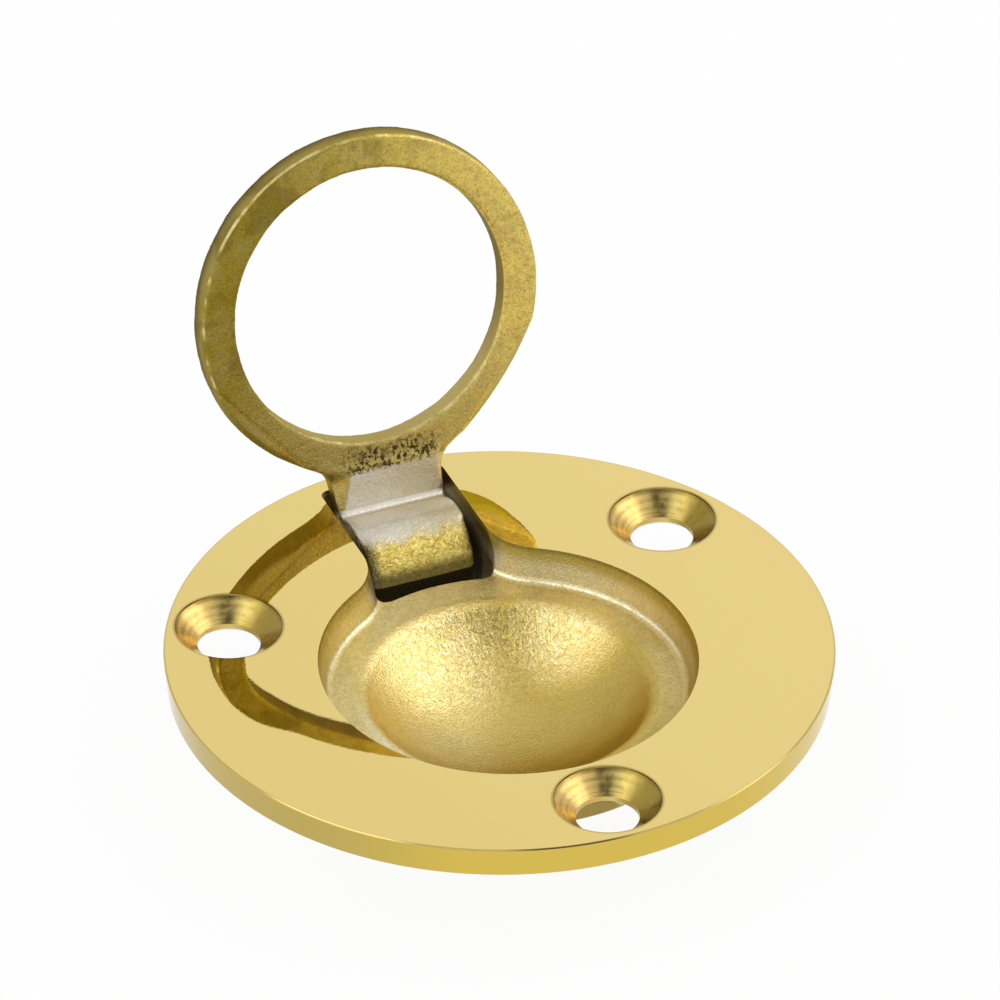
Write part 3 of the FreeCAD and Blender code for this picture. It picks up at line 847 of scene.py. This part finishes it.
def cast_mesh():
    """The handle's solid as one even skin with softly rounded edges, remeshed in millimetres."""
    mesh = nodes["ring_handle"].data.copy()
    piece = bpy.data.objects.new("cast_ring_handle", mesh)
    bpy.context.scene.collection.objects.link(piece)
    shape = bmesh.new()
    shape.from_mesh(mesh)
    bmesh.ops.remove_doubles(shape, verts=shape.verts, dist=WELD)
    bmesh.ops.scale(shape, vec=(1 / MM, 1 / MM, 1 / MM), verts=shape.verts)
    shape.to_mesh(mesh)
    shape.free()
    remesh = piece.modifiers.new("skin", "REMESH")
    remesh.mode = "VOXEL"
    remesh.voxel_size = CAST_VOXEL / MM
    smooth = piece.modifiers.new("soften", "SMOOTH")
    smooth.factor = SMOOTHING
    smooth.iterations = SMOOTHING_ROUNDS
    evaluated = piece.evaluated_get(bpy.context.evaluated_depsgraph_get())
    skin = bpy.data.meshes.new_from_object(evaluated)
    piece.modifiers.clear()
    piece.data = skin
    skin.transform(Matrix.Scale(MM, 4))
    return piece


def knuckle_round(point, down):
    """How a point moves toward the pin where the knuckle's ends are rounded."""
    from_pin = Vector((0, point.y - hinge.y, point.z - hinge.z))
    into_end = (abs(point.x) - SHANK_HALF_WIDTH + KNUCKLE_END_ROUND) / KNUCKLE_END_ROUND
    if into_end <= 0 or from_pin.length <= KNUCKLE_RADIUS * KNUCKLE_CORE or down <= KNUCKLE_START:
        return None
    inward = KNUCKLE_END_ROUND * (1 - math.sqrt(max(0, 1 - min(into_end, 1) ** 2)))
    share = min(1, (from_pin.length / KNUCKLE_RADIUS - KNUCKLE_CORE) / KNUCKLE_CORE_FADE)
    return from_pin.normalized() * inward * share * KNUCKLE_END_SHARE


def carve(piece):
    """Rounds the knuckle's ends and cuts the rough facet along the shank's left edge."""
    moved = []
    for vertex in piece.data.vertices:
        point = vertex.co.copy()
        offset = point - RING_CENTRE
        across, down, depth = offset.x, offset.dot(HANDLE_DOWN), offset.dot(HANDLE_FRONT)
        inward = knuckle_round(point, down)
        if inward is not None:
            point -= inward
        start = FACET_START - FACET_SLANT * (down - FACET_ORIGIN)
        facet_depth = SHANK_PROUD - min(start - across, SHANK_HALF_WIDTH + start) * FACET_SLOPE
        if FACET_TOP < down < BEND and across < start and depth > facet_depth:
            fade = min(1, (down - FACET_TOP) / FACET_FADE_IN, (BEND - down) / FACET_FADE_OUT)
            point += HANDLE_FRONT * (facet_depth - depth) * fade
        moved.extend(point)
    piece.data.vertices.foreach_set("co", moved)
    piece.data.update()


def roughen(piece):
    """Moves the skin in and out by the lumps of a sand casting, but not in the pin's bore."""
    moved = []
    for vertex in piece.data.vertices:
        point = vertex.co.copy()
        from_pin = math.hypot(point.y - hinge.y, point.z - hinge.z)
        if from_pin > BORE_KEEP_OUT:
            fine = noise.noise(point / (LUMP_SIZE / FINE_LUMPS))
            lump = noise.noise(point / LUMP_SIZE) + FINE_LUMP_SHARE * fine
            point += vertex.normal * (lump * LUMP_HEIGHT)
        moved.extend(point)
    piece.data.vertices.foreach_set("co", moved)
    piece.data.update()


def add_handle():
    """Puts the cast skin in the place of the handle's solid."""
    piece = cast_mesh()
    carve(piece)
    roughen(piece)
    piece.data.materials.clear()
    piece.data.materials.append(cast_handle())
    for face in piece.data.polygons:
        face.use_smooth = True
        face.material_index = 0
    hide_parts("ring_handle")
    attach(piece, "ring")


def add_camera():
    azimuth = math.radians(CAMERA_AZIMUTH)
    elevation = math.radians(CAMERA_ELEVATION)
    back = Vector((math.sin(azimuth) * math.cos(elevation), -math.cos(azimuth) * math.cos(elevation),
                   math.sin(elevation)))
    right = Vector((math.cos(azimuth), math.sin(azimuth), 0))
    up = back.cross(right)
    metres_per_px = CAMERA_DISTANCE * SENSOR / (LENS * IMAGE_SIZE)
    turn = Matrix.Rotation(math.radians(CAMERA_ROLL), 3, back)
    middle = IMAGE_SIZE / 2
    aside = (middle - ORIGIN_PX[0]) * metres_per_px
    above = (ORIGIN_PX[1] - middle) * metres_per_px
    origin = Vector((0, 0, plate_top))
    target = origin + turn @ (right * aside + up * above)
    data = bpy.data.cameras.new("camera")
    data.lens = LENS
    data.sensor_width = SENSOR
    camera = bpy.data.objects.new("camera", data)
    camera.location = origin + back * CAMERA_DISTANCE
    look = (target - camera.location).normalized()
    across = (turn @ right - look * look.dot(turn @ right)).normalized()
    camera.rotation_euler = Matrix((across, across.cross(look), look * -1)).transposed().to_euler()
    bpy.context.scene.collection.objects.link(camera)
    bpy.context.scene.camera = camera


def add_world():
    """The studio's light by direction; the camera itself sees plain white."""
    world = bpy.data.worlds.new("studio")
    bpy.context.scene.world = world
    world.use_nodes = True
    tree = world.node_tree
    background = tree.nodes["Background"]
    place = tree.nodes.new("ShaderNodeTexCoord")
    strength = tree.nodes.new("ShaderNodeValue")
    strength.outputs[0].default_value = STUDIO
    level = strength.outputs[0]
    for direction, core, edge, tone in (ROOM_TOP, ROOM_FRONT, ZENITH, RIGHT_BOX, LEFT_BOX):
        toward = tree.nodes.new("ShaderNodeVectorMath")
        toward.operation = "DOT_PRODUCT"
        toward.inputs[1].default_value = direction.normalized()
        tree.links.new(place.outputs["Generated"], toward.inputs[0])
        fade = tree.nodes.new("ShaderNodeMapRange")
        fade.interpolation_type = "SMOOTHSTEP"
        fade.inputs["From Min"].default_value = math.cos(math.radians(edge))
        fade.inputs["From Max"].default_value = math.cos(math.radians(core))
        fade.inputs["To Max"].default_value = 1.0
        tree.links.new(toward.outputs["Value"], fade.inputs["Value"])
        blend = tree.nodes.new("ShaderNodeMix")
        tree.links.new(fade.outputs["Result"], blend.inputs[0])
        tree.links.new(level, blend.inputs[2])
        blend.inputs[3].default_value = tone
        level = blend.outputs[0]
    path = tree.nodes.new("ShaderNodeLightPath")
    blend = tree.nodes.new("ShaderNodeMix")
    tree.links.new(path.outputs["Is Camera Ray"], blend.inputs[0])
    tree.links.new(level, blend.inputs[2])
    blend.inputs[3].default_value = SEEN_STUDIO
    tree.links.new(blend.outputs[0], background.inputs["Strength"])
    background.inputs["Color"].default_value = (1, 1, 1, 1)


def add_floor():
    """A pale floor under the bowl that glows to the camera and to the metal, and keeps a shadow."""
    material = bpy.data.materials.new("floor")
    material.use_nodes = True
    tree = material.node_tree
    tree.nodes.remove(tree.nodes["Principled BSDF"])
    cloth = tree.nodes.new("ShaderNodeBsdfDiffuse")
    cloth.inputs["Color"].default_value = FLOOR_CLOTH
    glow = tree.nodes.new("ShaderNodeEmission")
    path = tree.nodes.new("ShaderNodeLightPath")
    seen = tree.nodes.new("ShaderNodeMath")
    seen.operation = "MAXIMUM"
    tree.links.new(path.outputs["Is Camera Ray"], seen.inputs[0])
    tree.links.new(path.outputs["Is Glossy Ray"], seen.inputs[1])
    share = tree.nodes.new("ShaderNodeMath")
    share.operation = "MULTIPLY"
    share.inputs[1].default_value = FLOOR_GLOW
    tree.links.new(seen.outputs[0], share.inputs[0])
    blend = tree.nodes.new("ShaderNodeMixShader")
    tree.links.new(share.outputs[0], blend.inputs[0])
    tree.links.new(cloth.outputs[0], blend.inputs[1])
    tree.links.new(glow.outputs[0], blend.inputs[2])
    tree.links.new(blend.outputs[0], tree.nodes["Material Output"].inputs["Surface"])
    mesh = bpy.data.meshes.new("floor")
    half = FLOOR_SIZE / 2
    level = base_low.z
    mesh.from_pydata([(-half, -half, level), (half, -half, level), (half, half, level),
                      (-half, half, level)], [], [(0, 1, 2, 3)])
    floor = bpy.data.objects.new("floor", mesh)
    mesh.materials.append(material)
    bpy.context.scene.collection.objects.link(floor)


add_camera()
add_world()
add_floor()
dress_base()
dress_pin()
add_handle()
bpy.context.scene.view_settings.view_transform = "Standard"
